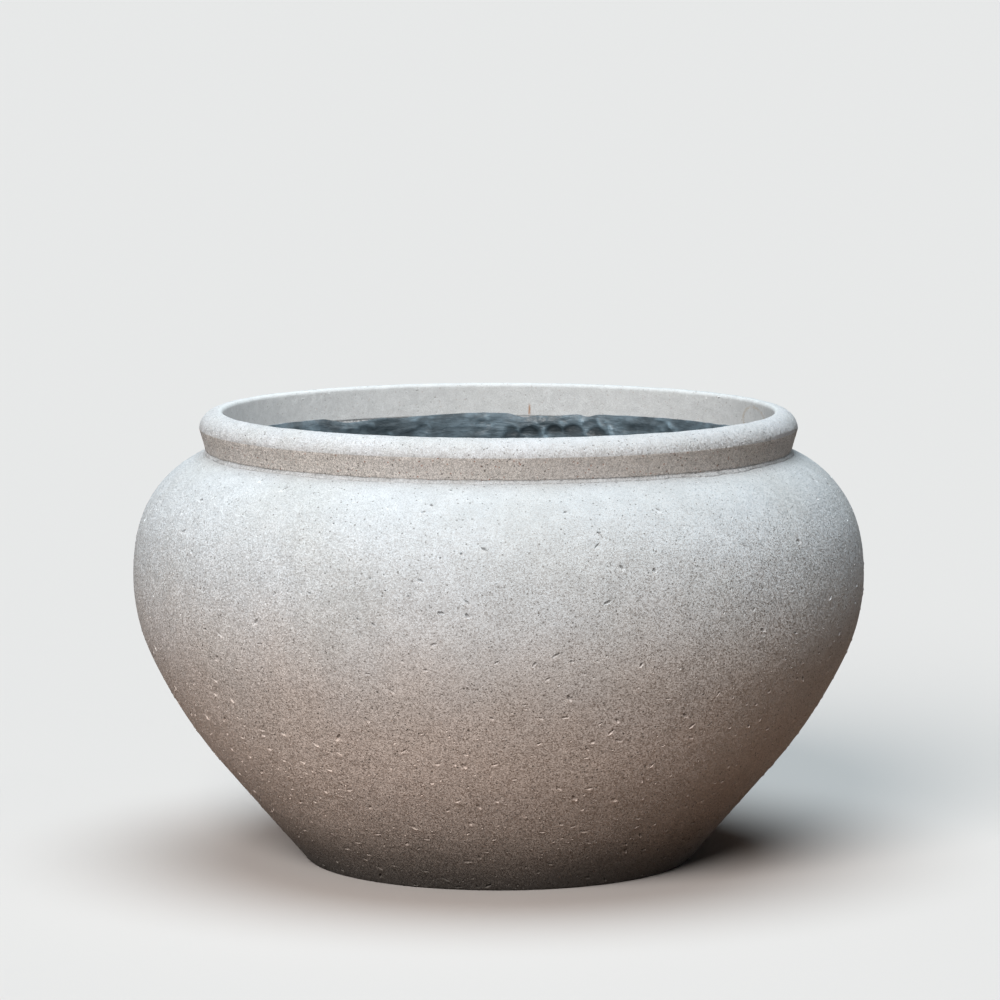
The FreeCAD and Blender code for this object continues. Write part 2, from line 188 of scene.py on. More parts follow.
class TurnedSkin:
    def __init__(self, run, segments, uneven, closed=False):
        self.run = run
        self.segments = segments
        self.uneven = uneven
        self.closed = closed
        self.lengths = [0.0]
        for before, after in zip(run, run[1:]):
            self.lengths.append(self.lengths[-1] + dist(before, after))
        self.normals = [self.normalOf(k) for k in range(len(run))]

    def normalOf(self, k):
        last = len(self.run) - 1
        before = self.run[k - 1] if k or self.closed else self.run[0]
        after = self.run[(k + 1) % len(self.run)] if k < last or self.closed else self.run[last]
        slope = angleTo(before, after)
        return (sin(slope), -cos(slope))

    def pointAt(self, length, angle, depth=0.0):
        k = min(max(bisect.bisect_right(self.lengths, length) - 1, 0), len(self.run) - 2)
        share = (length - self.lengths[k]) / (self.lengths[k + 1] - self.lengths[k])
        before, after = (self.run[row] + self.normals[row] for row in (k, k + 1))
        return self.placed(between(before, after, share), angle, depth)

    def placed(self, spot, angle, depth=0.0):
        radius, height, across, upward = spot
        swell, lift = self.uneven(angle, radius, height, across, upward)
        radius += swell - depth * across
        height += lift - depth * upward
        return Vector((radius * cos(angle), radius * sin(angle), height))

    def grid(self):
        step = tau / self.segments
        return [
            self.placed(spot + normal, step * j)
            for spot, normal in zip(self.run, self.normals)
            for j in range(self.segments)
        ]

    def quad(self, i, j):
        after = (j + 1) % self.segments
        lower = i * self.segments
        upper = (i + 1) % len(self.run) * self.segments
        return (lower + j, lower + after, upper + after, upper + j)


# Pits: painted tones, below nothing for the painted highlight on the lower lip and rising to one for the
# painted shade in the pit

pitForm = dict(
    cellMargin=2.3, floorScale=0.62, floorSink=0.8,
    ragged=(0.82, 1.12),
    lip=0.3, upperShade=0.35, lowerHighlight=0.9, floorShade=0.65, centreShade=0.75, footClear=0.006,
    topClear=0.03, thinning=0.85,
    roundness=(0.7, 1.0),
    smallSlant=1.5,
)


class Pit(namedtuple("Pit", "length angle half width slant depth")):
    def edgeReach(self, turn):
        across = self.width * cos(turn - self.slant)
        upward = self.half * sin(turn - self.slant)
        return self.half * self.width / hypot(across, upward)


def cutPit(skin, pit, points, quads, extraFaces, pitShadeAndHighlight, rimEdges, chance):
    segments = skin.segments
    step = tau / segments
    row = min(max(bisect.bisect_right(skin.lengths, pit.length) - 1, 1), len(skin.run) - 3)
    radius = skin.run[row][0]
    column = int(pit.angle / step) % segments
    spanUp = abs(pit.half * sin(pit.slant)) + pit.width
    spanAcross = abs(pit.half * cos(pit.slant)) + pit.width
    cellHeight = skin.lengths[row + 1] - skin.lengths[row]
    rows = max(1, ceil(pitForm["cellMargin"] * spanUp / cellHeight))
    columns = max(1, ceil(pitForm["cellMargin"] * spanAcross / (radius * step)))
    cells = [(row + a, (column + b) % segments) for a in range(rows) for b in range(columns)]
    if row + rows >= len(skin.run) - 1 or any(cell not in quads for cell in cells):
        return False
    for cell in cells:
        del quads[cell]

    # outline of the opened cells, anticlockwise seen from outside
    outline = [(row, column + b) for b in range(columns)]
    outline += [(row + a, column + columns) for a in range(rows)]
    outline += [(row + rows, column + columns - b) for b in range(columns)]
    outline += [(row + rows - a, column) for a in range(rows)]
    middleLength = (skin.lengths[row] + skin.lengths[row + rows]) / 2
    middleAngle = (column + columns / 2) * step
    rings = [[i * segments + j % segments for i, j in outline]]
    for scale, sink in ((1.0, 0.0), (pitForm["floorScale"], pitForm["floorSink"])):
        ring = []
        for i, j in outline:
            up = skin.lengths[i] - middleLength
            turn = atan2(up, (j * step - middleAngle) * radius)
            reach = pit.edgeReach(turn) * scale * chance.uniform(*pitForm["ragged"])
            rising = sin(turn)
            above, below = max(0.0, rising), max(0.0, -rising)
            # painted shade on the pit floor and upper wall, painted highlight on the lower lip
            if sink:
                lip = 0.0
                tone = pitForm["floorShade"] + pitForm["upperShade"] * rising
            else:
                lip = pitForm["lip"] * pit.depth * below
                tone = pitForm["upperShade"] * above - pitForm["lowerHighlight"] * below
            length = middleLength + reach * rising
            angle = middleAngle + reach * cos(turn) / radius
            ring.append(len(points))
            pitShadeAndHighlight[len(points)] = tone
            points.append(skin.pointAt(length, angle, pit.depth * sink - lip))
        rings.append(ring)
    for lower, upper in zip(rings, rings[1:]):
        for (first, second), (third, fourth) in zip(ringPairs(lower), ringPairs(upper)):
            extraFaces.append((first, second, fourth, third))
    centre = len(points)
    points.append(skin.pointAt(middleLength, middleAngle, pit.depth))
    pitShadeAndHighlight[centre] = pitForm["centreShade"]
    rimEdges.update(frozenset(pair) for pair in ringPairs(rings[1]))
    extraFaces.extend((*pair, centre) for pair in ringPairs(rings[2]))
    return True


def addObject(name, data):
    piece = bpy.data.objects.new(name, data)
    bpy.context.scene.collection.objects.link(piece)
    return piece


def buildSkin(name, skin, pits=(), seed=1, creases=()):
    points = skin.grid()
    rowCount = len(skin.run) if skin.closed else len(skin.run) - 1
    quads = {(i, j): skin.quad(i, j) for i in range(rowCount) for j in range(skin.segments)}
    extraFaces = []
    pitShadeAndHighlight = {}
    turns = range(skin.segments)
    rimEdges = {frozenset(skin.quad(row, j)[:2]) for row in creases for j in turns}
    chance = random.Random(seed)
    cut = sum(cutPit(skin, pit, points, quads, extraFaces, pitShadeAndHighlight, rimEdges, chance) for pit in pits)

    # leave out the grid points inside opened cells
    faces = list(quads.values()) + extraFaces
    used = sorted({corner for face in faces for corner in face})
    renumber = {old: new for new, old in enumerate(used)}
    corners = [tuple(renumber[corner] for corner in face) for face in faces]
    mesh = bpy.data.meshes.new(name)
    mesh.from_pydata([points[old] for old in used], [], corners)
    mesh.polygons.foreach_set("use_smooth", [True] * len(mesh.polygons))
    depthLayer = mesh.attributes.new("pitShadeAndHighlight", "FLOAT", "POINT")
    depthLayer.data.foreach_set("value", [pitShadeAndHighlight.get(old, 0.0) for old in used])
    sharpEdges = {frozenset(renumber.get(corner) for corner in edge) for edge in rimEdges}
    sharpLayer = mesh.attributes.new("sharp_edge", "BOOLEAN", "EDGE")
    sharpLayer.data.foreach_set("value", [frozenset(edge.vertices) in sharpEdges for edge in mesh.edges])
    mesh.update()
    print(f"{name}: {len(mesh.polygons)} faces, {cut} pits")
    return addObject(name, mesh)


def dress(piece, material):
    piece.data.materials.clear()
    piece.data.materials.append(material)


def mount(piece, body, slot, material, *nodes):
    dress(piece, material)
    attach(piece, body)
    if nodes:
        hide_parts(*nodes)


# Smooth random rise and fall at a spot on the skin: a wave is its height, its spacing and its seed

seedSteps = (17.3, 5.1, 11.7)


def waves(form, angle, radius, height, *labels):
    total = 0.0
    for label in labels:
        amount, spacing, seed = form[label]
        spot = Vector((radius * cos(angle), radius * sin(angle), height)) / spacing
        total += amount * noise.noise(spot + Vector([seed * step for step in seedSteps]))
    return total


# Shader values that can be added, multiplied and blended

class Signal:
    def __init__(self, tree, socket):
        self.tree = tree
        self.socket = socket

    def math(self, operation, other=0.0):
        return addNode(self.tree, "Math", 0, {0: self, 1: other}, operation=operation)

    __add__ = partialmethod(math, "ADD")
    __sub__ = partialmethod(math, "SUBTRACT")
    __mul__ = partialmethod(math, "MULTIPLY")

    def inverse(self):
        return addNode(self.tree, "Math", 0, {0: 1.0, 1: self}, operation="DIVIDE")

    def ramp(self, low, high, lowTo=0.0, highTo=1.0):
        inputs = {"Value": self, "From Min": low, "From Max": high, "To Min": lowTo, "To Max": highTo}
        return addNode(self.tree, "MapRange", "Result", inputs, interpolation_type="SMOOTHSTEP")

    def spread(self, low, high):
        return self.ramp(0.0, 1.0, low, high)

    def blend(self, first, second):
        return addNode(self.tree, "Mix", 2, {0: self, 6: first, 7: second}, data_type="RGBA")

    def scaled(self, factor):
        return addNode(self.tree, "VectorMath", "Vector", {0: self, "Scale": factor}, operation="SCALE")

    def vector(self, operation, other=(0.0, 0.0, 0.0), output="Vector"):
        return addNode(self.tree, "VectorMath", output, {0: self, 1: other}, operation=operation)

    def parts(self):
        return addNode(self.tree, "SeparateXYZ", ("X", "Y", "Z"), {0: self})

    def noiseAt(self, scale, detail, roughness=0.5):
        inputs = {"Vector": self, "Scale": scale, "Detail": detail, "Roughness": roughness}
        return addNode(self.tree, "TexNoise", "Fac", inputs)

    def relief(self, strength, distance, **normal):
        inputs = {"Strength": strength, "Distance": distance, "Height": self}
        return addNode(self.tree, "Bump", "Normal", dict(inputs, **normal))


def feed(tree, socket, value):
    if isinstance(value, Signal):
        tree.links.new(value.socket, socket)
    else:
        socket.default_value = value


def addNode(tree, kind, output, inputs=None, **settings):
    node = tree.nodes.new(f"ShaderNode{kind}")
    for key, value in settings.items():
        setattr(node, key, value)
    for key, value in (inputs or {}).items():
        feed(tree, node.inputs[key], value)
    if isinstance(output, tuple):
        return [Signal(tree, node.outputs[label]) for label in output]
    return Signal(tree, node.outputs[output])


def newGroup(name, **inputs):
    group = bpy.data.node_groups.new(name, "ShaderNodeTree")
    for label, value in inputs.items():
        socket = group.interface.new_socket(label, in_out="INPUT", socket_type="NodeSocketFloat")
        socket.default_value = value
    given = group.nodes.new("NodeGroupInput").outputs
    return group, {label: Signal(group, given[label]) for label in inputs}


def closeGroup(group, **outputs):
    for label, value in outputs.items():
        kind = "NodeSocketVector" if value.socket.type == "VECTOR" else "NodeSocketFloat"
        group.interface.new_socket(label, in_out="OUTPUT", socket_type=kind)
    result = group.nodes.new("NodeGroupOutput").inputs
    for label, value in outputs.items():
        feed(group, result[label], value)
    return group


def useGroup(tree, group, *values):
    node = tree.nodes.new("ShaderNodeGroup")
    node.node_tree = group
    for socket, value in zip(node.inputs, values):
        feed(tree, socket, value)
    return {socket.name: Signal(tree, socket) for socket in node.outputs}


def newMaterial(name):
    material = bpy.data.materials.new(name)
    material.use_nodes = True
    return material, material.node_tree


def setShader(tree, colour, roughness, specular, **others):
    inputs = {"Base Color": colour, "Roughness": roughness, "Specular IOR Level": specular, **others}
    for label, value in inputs.items():
        feed(tree, tree.nodes["Principled BSDF"].inputs[label], value)


def objectSpot(tree):
    return addNode(tree, "TexCoord", "Object")


# Sand grain: small facets, each with its own tone and tilt, drawn out a little along the turning direction

def makeSandGrain():
    lumpShare = 0.7
    group, given = newGroup("sandGrain", size=0.0014, drawOut=0.75, tilt=0.5)
    x, y, z = objectSpot(group).parts()
    reach = addNode(group, "CombineXYZ", 0, {0: x, 1: y}).vector("LENGTH", output="Value")
    around = y.math("ARCTAN2", x) * neckRadius * given["drawOut"]
    turned = addNode(group, "CombineXYZ", 0, {0: reach, 1: around, 2: z})
    frequency = given["size"].inverse()
    grains = addNode(group, "TexVoronoi", "Color", {"Vector": turned, "Scale": frequency})
    tone = addNode(group, "SeparateColor", "Red", {0: grains})
    lumps = turned.noiseAt(frequency * lumpShare, detail=2.0)
    lean = grains.vector("SUBTRACT", (0.5, 0.5, 0.5)).scaled(given["tilt"])
    facet = addNode(group, "NewGeometry", "Normal").vector("ADD", lean).vector("NORMALIZE")
    return closeGroup(group, shade=tone - 0.5, height=lumps, normal=facet)


# Scattered spots: dark grains and rusty grains

def makeSpots():
    spotCore = 0.55
    group, given = newGroup("scatteredSpots", spacing=0.007, radius=0.0012, share=0.6)
    inputs = {"Vector": objectSpot(group), "Scale": given["spacing"].inverse()}
    colour, distance = addNode(group, "TexVoronoi", ("Color", "Distance"), inputs)
    red, green = addNode(group, "SeparateColor", ("Red", "Green"), {0: colour})
    limit = given["radius"] * green.spread(low=0.5, high=1.0)
    inside = (distance * given["spacing"]).math("DIVIDE", limit).ramp(spotCore, 1.0, 1.0, 0.0)
    return closeGroup(group, mask=inside * red.math("LESS_THAN", given["share"]))


# Cloudy unevenness of a cast or a coat, broad and fine

def makeClouds():
    fineShare = 7.0
    group, given = newGroup("castClouds", size=0.12)
    frequency = given["size"].inverse()
    spot = objectSpot(group)
    broad = spot.noiseAt(frequency, detail=3.0, roughness=0.55).ramp(low=0.32, high=0.68)
    fine = spot.noiseAt(frequency * fineShare, detail=3.0, roughness=0.6).ramp(low=0.3, high=0.7)
    return closeGroup(group, broad=broad, fine=fine)


# Mask that fades between two heights, with a ragged edge: for stains, dust and painted shade

def makeHeightStain():
    group, given = newGroup("heightFade", full=0.05, none=0.35, ragged=0.08)
    spot = objectSpot(group)
    cloud = spot.noiseAt(scale=7.0, detail=4.0)
    level = spot.parts()[2] + (cloud - 0.5) * given["ragged"]
    return closeGroup(group, mask=level.ramp(given["full"], given["none"], 1.0, 0.0))


sandGrain = makeSandGrain()
scatteredSpots = makeSpots()
castClouds = makeClouds()
heightFade = makeHeightStain()
print("shared shader groups made")


def heightMask(tree, span):
    return useGroup(tree, heightFade, *span)["mask"]


def spotMask(tree, spots):
    return useGroup(tree, scatteredSpots, *spots)["mask"]


# One on faces that look away from the axis, nothing inside the mouth

def facingOut(tree):
    flat = objectSpot(tree).vector("MULTIPLY", (1.0, 1.0, 0.0))
    normal = addNode(tree, "NewGeometry", "True Normal")
    return normal.vector("DOT_PRODUCT", flat, "Value").math("GREATER_THAN")


# Stone: pale sandy cast with dark and rusty grains, painted shade in its pits and painted highlight on their
# lower lips, a lower tint that is part stain and part painted shade, and painted contact shade with damp at
# the foot. A height mask spans from full to none, with a ragged edge. Spots have a spacing, a radius and a
# share

bowlLook = dict(
    pale=(0.665, 0.688, 0.712, 1.0),
    grey=(0.62, 0.632, 0.638, 1.0),
    cloudSize=0.16,
    fineShade=(0.96, 1.04),
    inside=(0.68, 0.70, 0.705, 1.0), insideShare=0.85, insideTilt=0.28, insideContrast=0.3,
    insideFlecks=0.4,
    # warmer, darker tint over the lower half: part soil stain, part painted warm shade of the down-facing
    # stone
    stainAndShade=(0.80, 0.628, 0.53, 1.0), stainAndShadeSpan=(0.15, 0.405, 0.13), stainAndShadeShare=0.65, stainAndShadeGrain=1.3,
    stainAndShadeHalf=0.5,
    # darker towards the foot: damp soiling with painted contact shade, near black at the very foot as painted
    # contact shadow
    dampAndShade=(0.34, 0.278, 0.236, 1.0), dampAndShadeSpan=(0.0, 0.165, 0.05), dampAndShadeShare=0.85, dampAndShadeGrain=2.6,
    splashAndContactShade=(0.056, 0.057, 0.055, 1.0), splashAndContactShadeSpan=(-0.01, 0.10, 0.02), splashAndContactShadeShare=0.88,
    dark=(0.13, 0.115, 0.10, 1.0), darkSpots=(0.0062, 0.0015, 0.8), darkStrength=(0.62, 0.88),
    darkSink=0.6,
    rusty=(0.36, 0.22, 0.15, 1.0), rustySpots=(0.012, 0.0012, 0.7), rustyStrength=(0.2, 0.75),
    grainSize=0.0010, grainDrawOut=0.9, grainTilt=0.8, grainContrast=0.30, grainDepth=0.0003,
    # painted shade inside the pits and painted highlight on their lower lips
    pitShade=0.5, lipHighlight=1.3,
    roughness=(0.96, 0.84),
    specular=0.25,
)
collarLook = dict(
    bowlLook,
    pale=(0.695, 0.703, 0.726, 1.0),
    grey=(0.65, 0.655, 0.66, 1.0),
    # darker band below the hard edge: part its own beige, part painted shade of the down-facing band
    stainAndShade=(0.57, 0.50, 0.44, 1.0), stainAndShadeSpan=(0.5331, 0.5341, 0.0016), stainAndShadeShare=0.58,
    stainAndShadeGrain=2.8,
    rusty=(0.30, 0.14, 0.09, 1.0), rustySpots=(0.0056, 0.0015, 0.7),
    darkSpots=(0.0066, 0.0015, 0.8),
    cloudSize=0.09,
)


def buildStone(name, look, marks=None):
    material, tree = newMaterial(name)
    outward = facingOut(tree)
    tilt = outward.spread(look["insideTilt"], 1.0) * look["grainTilt"]
    grain = useGroup(tree, sandGrain, look["grainSize"], look["grainDrawOut"], tilt)
    clouds = useGroup(tree, castClouds, look["cloudSize"])
    # damp soiling and painted contact shade towards the foot
    dampAndShade = heightMask(tree, look["dampAndShadeSpan"])
    dark = spotMask(tree, look["darkSpots"])
    # tint that is part stain and part painted shade of down-facing stone
    stainedAndShaded = heightMask(tree, look["stainAndShadeSpan"]) * look["stainAndShadeShare"] * outward

    colour = clouds["broad"].blend(look["pale"], look["grey"])
    colour = outward.spread(look["insideShare"], 0.0).blend(colour, look["inside"])
    colour = stainedAndShaded.blend(colour, look["stainAndShade"])
    colour = (dampAndShade * look["dampAndShadeShare"]).blend(colour, look["dampAndShade"])
    # near-black painted contact shadow at the very foot, with some splash
    splashAndContactShade = heightMask(tree, look["splashAndContactShadeSpan"]) * look["splashAndContactShadeShare"]
    colour = splashAndContactShade.blend(colour, look["splashAndContactShade"])
    colour = colour.scaled(clouds["fine"].spread(*look["fineShade"]))
    contrast = outward.spread(look["insideContrast"], 1.0) * look["grainContrast"]
    contrast *= dampAndShade * look["dampAndShadeGrain"] + (stainedAndShaded * look["stainAndShadeGrain"] + 1.0)
    colour = colour.scaled(grain["shade"] * contrast + 1.0)
    rust = spotMask(tree, look["rustySpots"])
    rust *= stainedAndShaded.ramp(0.0, look["stainAndShadeHalf"], *look["rustyStrength"])
    colour = rust.blend(colour, look["rusty"])
    flecks = dark * outward.spread(look["insideFlecks"], 1.0)
    flecks *= stainedAndShaded.ramp(0.0, look["stainAndShadeHalf"], *look["darkStrength"])
    colour = flecks.blend(colour, look["dark"])
    # painted shade inside the pits and painted highlight on their lower lips
    depth = addNode(tree, "Attribute", "Fac", attribute_name="pitShadeAndHighlight")
    colour = colour.scaled(depth.spread(1.0, look["pitShade"]))
    colour = colour.scaled(depth.ramp(-pitForm["lowerHighlight"], 0.0, look["lipHighlight"], 1.0))
    if marks:
        colour = marks(tree, colour)
    height = grain["height"] - dark * look["darkSink"]
    relief = height.relief(1.0, look["grainDepth"], Normal=grain["normal"])
    roughness = grain["shade"].ramp(-0.5, 0.5, *look["roughness"])
    setShader(tree, colour, roughness, look["specular"], Normal=relief)
    return material


# Rust run and a water ring on the inside of the collar

collarMarks = dict(
    wobbleScale=320.0,
    streakPlace=(0.040, 0.336, 0.521), streakWidth=0.0026, streakHeights=(0.003, 0.0095),
    streakReach=0.004, streakWobble=0.003, streak=(0.42, 0.20, 0.09, 1.0), streakShare=0.85,
    ringPlace=(0.3195, 0.112, 0.529), ringStretch=(1.45, 0.0, 1.0), ringRadius=0.017,
    ringWidth=0.0026, ringSpan=0.06, ringWobble=0.007, ring=(0.50, 0.41, 0.30, 1.0), ringShare=0.5,
    patchScale=75.0, patchRange=(0.38, 0.6, 0.25, 1.0),
)


def drawCollarMarks(tree, colour):
    marks = collarMarks
    spot = objectSpot(tree)
    wobble = spot.noiseAt(marks["wobbleScale"], detail=3.0) - 0.5
    x, y, z = spot.vector("SUBTRACT", marks["streakPlace"]).parts()
    sideways = (x + wobble * marks["streakWobble"]).math("ABSOLUTE")
    narrow = sideways.ramp(0.0, marks["streakWidth"], 1.0, 0.0)
    upright = z.math("ABSOLUTE").ramp(*marks["streakHeights"], 1.0, 0.0)
    onWall = y.math("ABSOLUTE").math("LESS_THAN", marks["streakReach"])
    streak = narrow * upright * onWall * marks["streakShare"]
    colour = streak.blend(colour, marks["streak"])

    offset = spot.vector("SUBTRACT", marks["ringPlace"])
    atRight = offset.parts()[1].math("ABSOLUTE").math("LESS_THAN", marks["ringSpan"])
    drawn = offset.vector("MULTIPLY", marks["ringStretch"])
    reach = drawn.vector("LENGTH", output="Value") + wobble * marks["ringWobble"]
    off = (reach - marks["ringRadius"]).math("ABSOLUTE")
    patches = spot.noiseAt(marks["patchScale"], detail=2.0).ramp(*marks["patchRange"])
    ring = off.ramp(0.0, marks["ringWidth"], 1.0, 0.0) * atRight * patches
    return (ring * marks["ringShare"]).blend(colour, marks["ring"])


castStone = buildStone("castStone", bowlLook)
collarStone = buildStone("collarStone", collarLook, drawCollarMarks)


# Mortar, greyer and coarser than the stone, and the moulded plastic and rubber of the drains

mortarLook = dict(
    first=(0.655, 0.672, 0.690, 1.0),
    second=(0.56, 0.565, 0.57, 1.0),
    cloudSize=0.03, patchy=False,
    grainSize=0.0018, grainTilt=0.8, grainContrast=0.4, grainDepth=0.0009, grainStrength=1.0,
    roughness=(0.85, 0.98),
    specular=0.2,
)
plasticLook = dict(
    first=(0.075, 0.076, 0.080, 1.0),
    second=(0.13, 0.13, 0.13, 1.0),
    cloudSize=0.03, patchy=True,
    grainSize=0.0009, grainTilt=0.1, grainContrast=0.12, grainDepth=0.0002, grainStrength=0.4,
    roughness=(0.4, 0.55),
    specular=0.5,
)
rubberLook = dict(
    plasticLook,
    first=(0.022, 0.022, 0.023, 1.0),
    second=(0.075, 0.073, 0.070, 1.0),
    grainSize=0.0012,
    roughness=(0.55, 0.8),
)


def buildGrainy(name, look):
    material, tree = newMaterial(name)
    grain = useGroup(tree, sandGrain, look["grainSize"], 1.0, look["grainTilt"])
    clouds = useGroup(tree, castClouds, look["cloudSize"])
    share = clouds["broad"] * clouds["fine"] if look["patchy"] else clouds["broad"]
    colour = share.blend(look["first"], look["second"])
    colour = colour.scaled(grain["shade"] * look["grainContrast"] + 1.0)
    relief = grain["height"].relief(look["grainStrength"], look["grainDepth"], Normal=grain["normal"])
    setShader(tree, colour, clouds["fine"].spread(*look["roughness"]), look["specular"], Normal=relief)
    return material


mortar = buildGrainy("mortar", mortarLook)
sleevePlastic = buildGrainy("sleevePlastic", plasticLook)
plugRubber = buildGrainy("plugRubber", rubberLook)


# Lining: a thick black brushed-on coat, satin where it pooled and dull where it dried thin, its bluish
# colours holding a painted sky reflection

liningLook = dict(
    thickWithSheen=(0.044, 0.063, 0.076, 1.0),
    thinWithSheen=(0.140, 0.196, 0.236, 1.0),
    cloudSize=0.035,
    deepSpan=(0.42, 0.488, 0.03), deepThin=0.35,
    dust=(0.15, 0.155, 0.155, 1.0), dustSpan=(0.10, 0.30, 0.12), dustShare=0.35,
    # painted shade in the scallops and painted highlight on their ridges
    scoopShade=(0.15, 0.7, 1.0, 0.36),
    ridgeHighlight=(-0.7, 0.0, 2.0, 1.0),
    brushStretch=(1.0, 1.0, 3.5), brushNoise=(90.0, 5.0, 0.6), brushShade=(0.3, 0.7, 0.8, 1.2),
    brushStrength=0.7, brushDepth=0.0013,
    roughness=(0.34, 0.62),
    specular=0.5,
)


def buildLining():
    look = liningLook
    material, tree = newMaterial("liningCoat")
    clouds = useGroup(tree, castClouds, look["cloudSize"])
    inputs = {"Vector": objectSpot(tree), "Scale": look["brushStretch"]}
    strokes = addNode(tree, "Mapping", "Vector", inputs).noiseAt(*look["brushNoise"])
    thinner = clouds["broad"] * heightMask(tree, look["deepSpan"]).spread(1.0, look["deepThin"])
    # both coat colours carry a painted bluish sky reflection
    colour = thinner.blend(look["thickWithSheen"], look["thinWithSheen"])
    powder = heightMask(tree, look["dustSpan"]) * clouds["fine"] * look["dustShare"]
    colour = powder.blend(colour, look["dust"])
    # painted shade in the upper part of each scallop, painted highlight on the ridges beside them
    shade = addNode(tree, "Attribute", "Fac", attribute_name="dabShadeAndHighlight")
    for tone, limits in ((shade, "scoopShade"), (shade, "ridgeHighlight"), (strokes, "brushShade")):
        colour = colour.scaled(tone.ramp(*look[limits]))
    relief = strokes.relief(look["brushStrength"], look["brushDepth"])
    setShader(tree, colour, clouds["fine"].spread(*look["roughness"]), look["specular"], Normal=relief)
    return material


liningCoat = buildLining()
print("materials made")


# Bowl wall: a slightly uneven cast, pitted more in its lower half

bowlWall = dict(
    segments=512, spacing=0.0054,
    broadUneven=(0.0005, 0.11, 1),
    fineUneven=(0.0002, 0.025, 2),
    footFlat=0.002, footFade=0.02, seatFade=0.01, seed=11,
    smallPits=1700, smallRadius=(0.0009, 0.0017),
    longPits=620, longHalf=(0.0028, 0.0068), longWidth=(0.0013, 0.0024),
    slant=1.1,
    depth=(0.0014, 0.0030),
)


def wallUneven(angle, radius, height, across, upward):
    swell = waves(bowlWall, angle, radius, height, "broadUneven", "fineUneven")
    rising = clamped((height - bowlWall["footFlat"]) / bowlWall["footFade"])
    swell *= rising * clamped((seatHeight - height) / bowlWall["seatFade"])
    return swell * across, swell * upward


def scatterPits(skin, look):
    chance = random.Random(look["seed"])
    footStart = next(k for k, spot in enumerate(skin.run) if spot[1] > pitForm["footClear"])
    low = skin.lengths[footStart + 1]
    high = skin.lengths[-1] - pitForm["topClear"]
    pits = []
    for kind in ("long", "small"):
        count = look[kind + "Pits"]
        while count:
            length = chance.uniform(low, high)
            share = (length - low) / (high - low)
            if chance.random() > 1.0 - pitForm["thinning"] * share**2:
                continue
            count -= 1
            angle = chance.uniform(0.0, tau)
            depth = chance.uniform(*look["depth"])
            if kind == "long":
                half = chance.uniform(*look["longHalf"])
                width = chance.uniform(*look["longWidth"])
                slant = chance.uniform(-look["slant"], look["slant"])
            else:
                half = chance.uniform(*look["smallRadius"])
                width = half * chance.uniform(*pitForm["roundness"])
                slant = chance.uniform(-pitForm["smallSlant"], pitForm["smallSlant"])
            pits.append(Pit(length, angle, half, width, slant, depth))
    return pits


wallSkin = TurnedSkin(outsideRun(bowlWall["spacing"]), bowlWall["segments"], wallUneven)
bowlPiece = buildSkin("bowl_wall", wallSkin, scatterPits(wallSkin, bowlWall), bowlWall["seed"])
mount(bowlPiece, "planter", "cast_stone", castStone, "bowl_shell")


# Bowl hollow: inside of the stone, its floor and underside, with the stepped drain holes

hollow = {"segments": 256, "spacing": 0.02, "topSpacing": 0.004, "holeSides": 48, "sharpAngle": 40.0}


def drainCentres():
    corners = (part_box(f"drain_sleeve_{name}") for name in drainBodies)
    return [((low.x + high.x) / 2, (low.y + high.y) / 2) for low, high in corners]


def addRing(bm, centre, radius, height, sides):
    angles = (tau * k / sides for k in range(sides))
    return [bm.verts.new((*along(centre, radius, angle), height)) for angle in angles]


def bridgeRings(bm, *rings):
    for lower, upper in zip(rings, rings[1:]):
        for (first, second), (third, fourth) in zip(ringPairs(lower), ringPairs(upper)):
            bm.faces.new((first, second, fourth, third)).smooth = True


def fillBetween(bm, outer, holes):
    edges = []
    for ring in [outer, *holes]:
        edges += [bm.edges.get(pair) or bm.edges.new(pair) for pair in ringPairs(ring)]
    bmesh.ops.triangle_fill(bm, use_beauty=True, use_dissolve=False, edges=edges)


def finishMesh(bm, name):
    bmesh.ops.recalc_face_normals(bm, faces=bm.faces)
    mesh = bpy.data.meshes.new(name)
    bm.to_mesh(mesh)
    bm.free()
    mesh.set_sharp_from_angle(angle=radians(hollow["sharpAngle"]))
    print(f"{name}: {len(mesh.polygons)} faces")
    return addObject(name, mesh)


def buildHollow():
    form = bowlForm
    bm = bmesh.new()
    axis = (0.0, 0.0)
    segments = hollow["segments"]
    section = insideRun(0.0, bowlTop.z, hollow["spacing"], hollow["topSpacing"])
    section.append((form["spigotRadius"], bowlTop.z))
    rings = [addRing(bm, axis, radius, height, segments) for radius, height in section]
    bridgeRings(bm, *rings)
    floorHeight = form["floorHeight"]
    stepHeight = floorHeight - form["drainRecessDepth"]
    steps = (
        (form["drainRecess"], floorHeight),
        (form["drainRecess"], stepHeight),
        (form["drainHole"], stepHeight),
        (form["drainHole"], form["footRecess"]),
    )
    drains = []
    for centre in drainCentres():
        drain = [addRing(bm, centre, radius, height, hollow["holeSides"]) for radius, height in steps]
        bridgeRings(bm, *drain)
        drains.append(drain)
    fillBetween(bm, rings[0], [drain[0] for drain in drains])
    underside = addRing(bm, axis, *recessTop, segments)
    fillBetween(bm, underside, [drain[-1] for drain in drains])
    return finishMesh(bm, "bowl_hollow")


hollowPiece = buildHollow()
mount(hollowPiece, "planter", "cast_stone", castStone, "bowl_shell")


# Collar: rounded crown over a hand-struck hard edge, with a tapering band below
# A facet of the edge is its bearing and spread in degrees and its reach

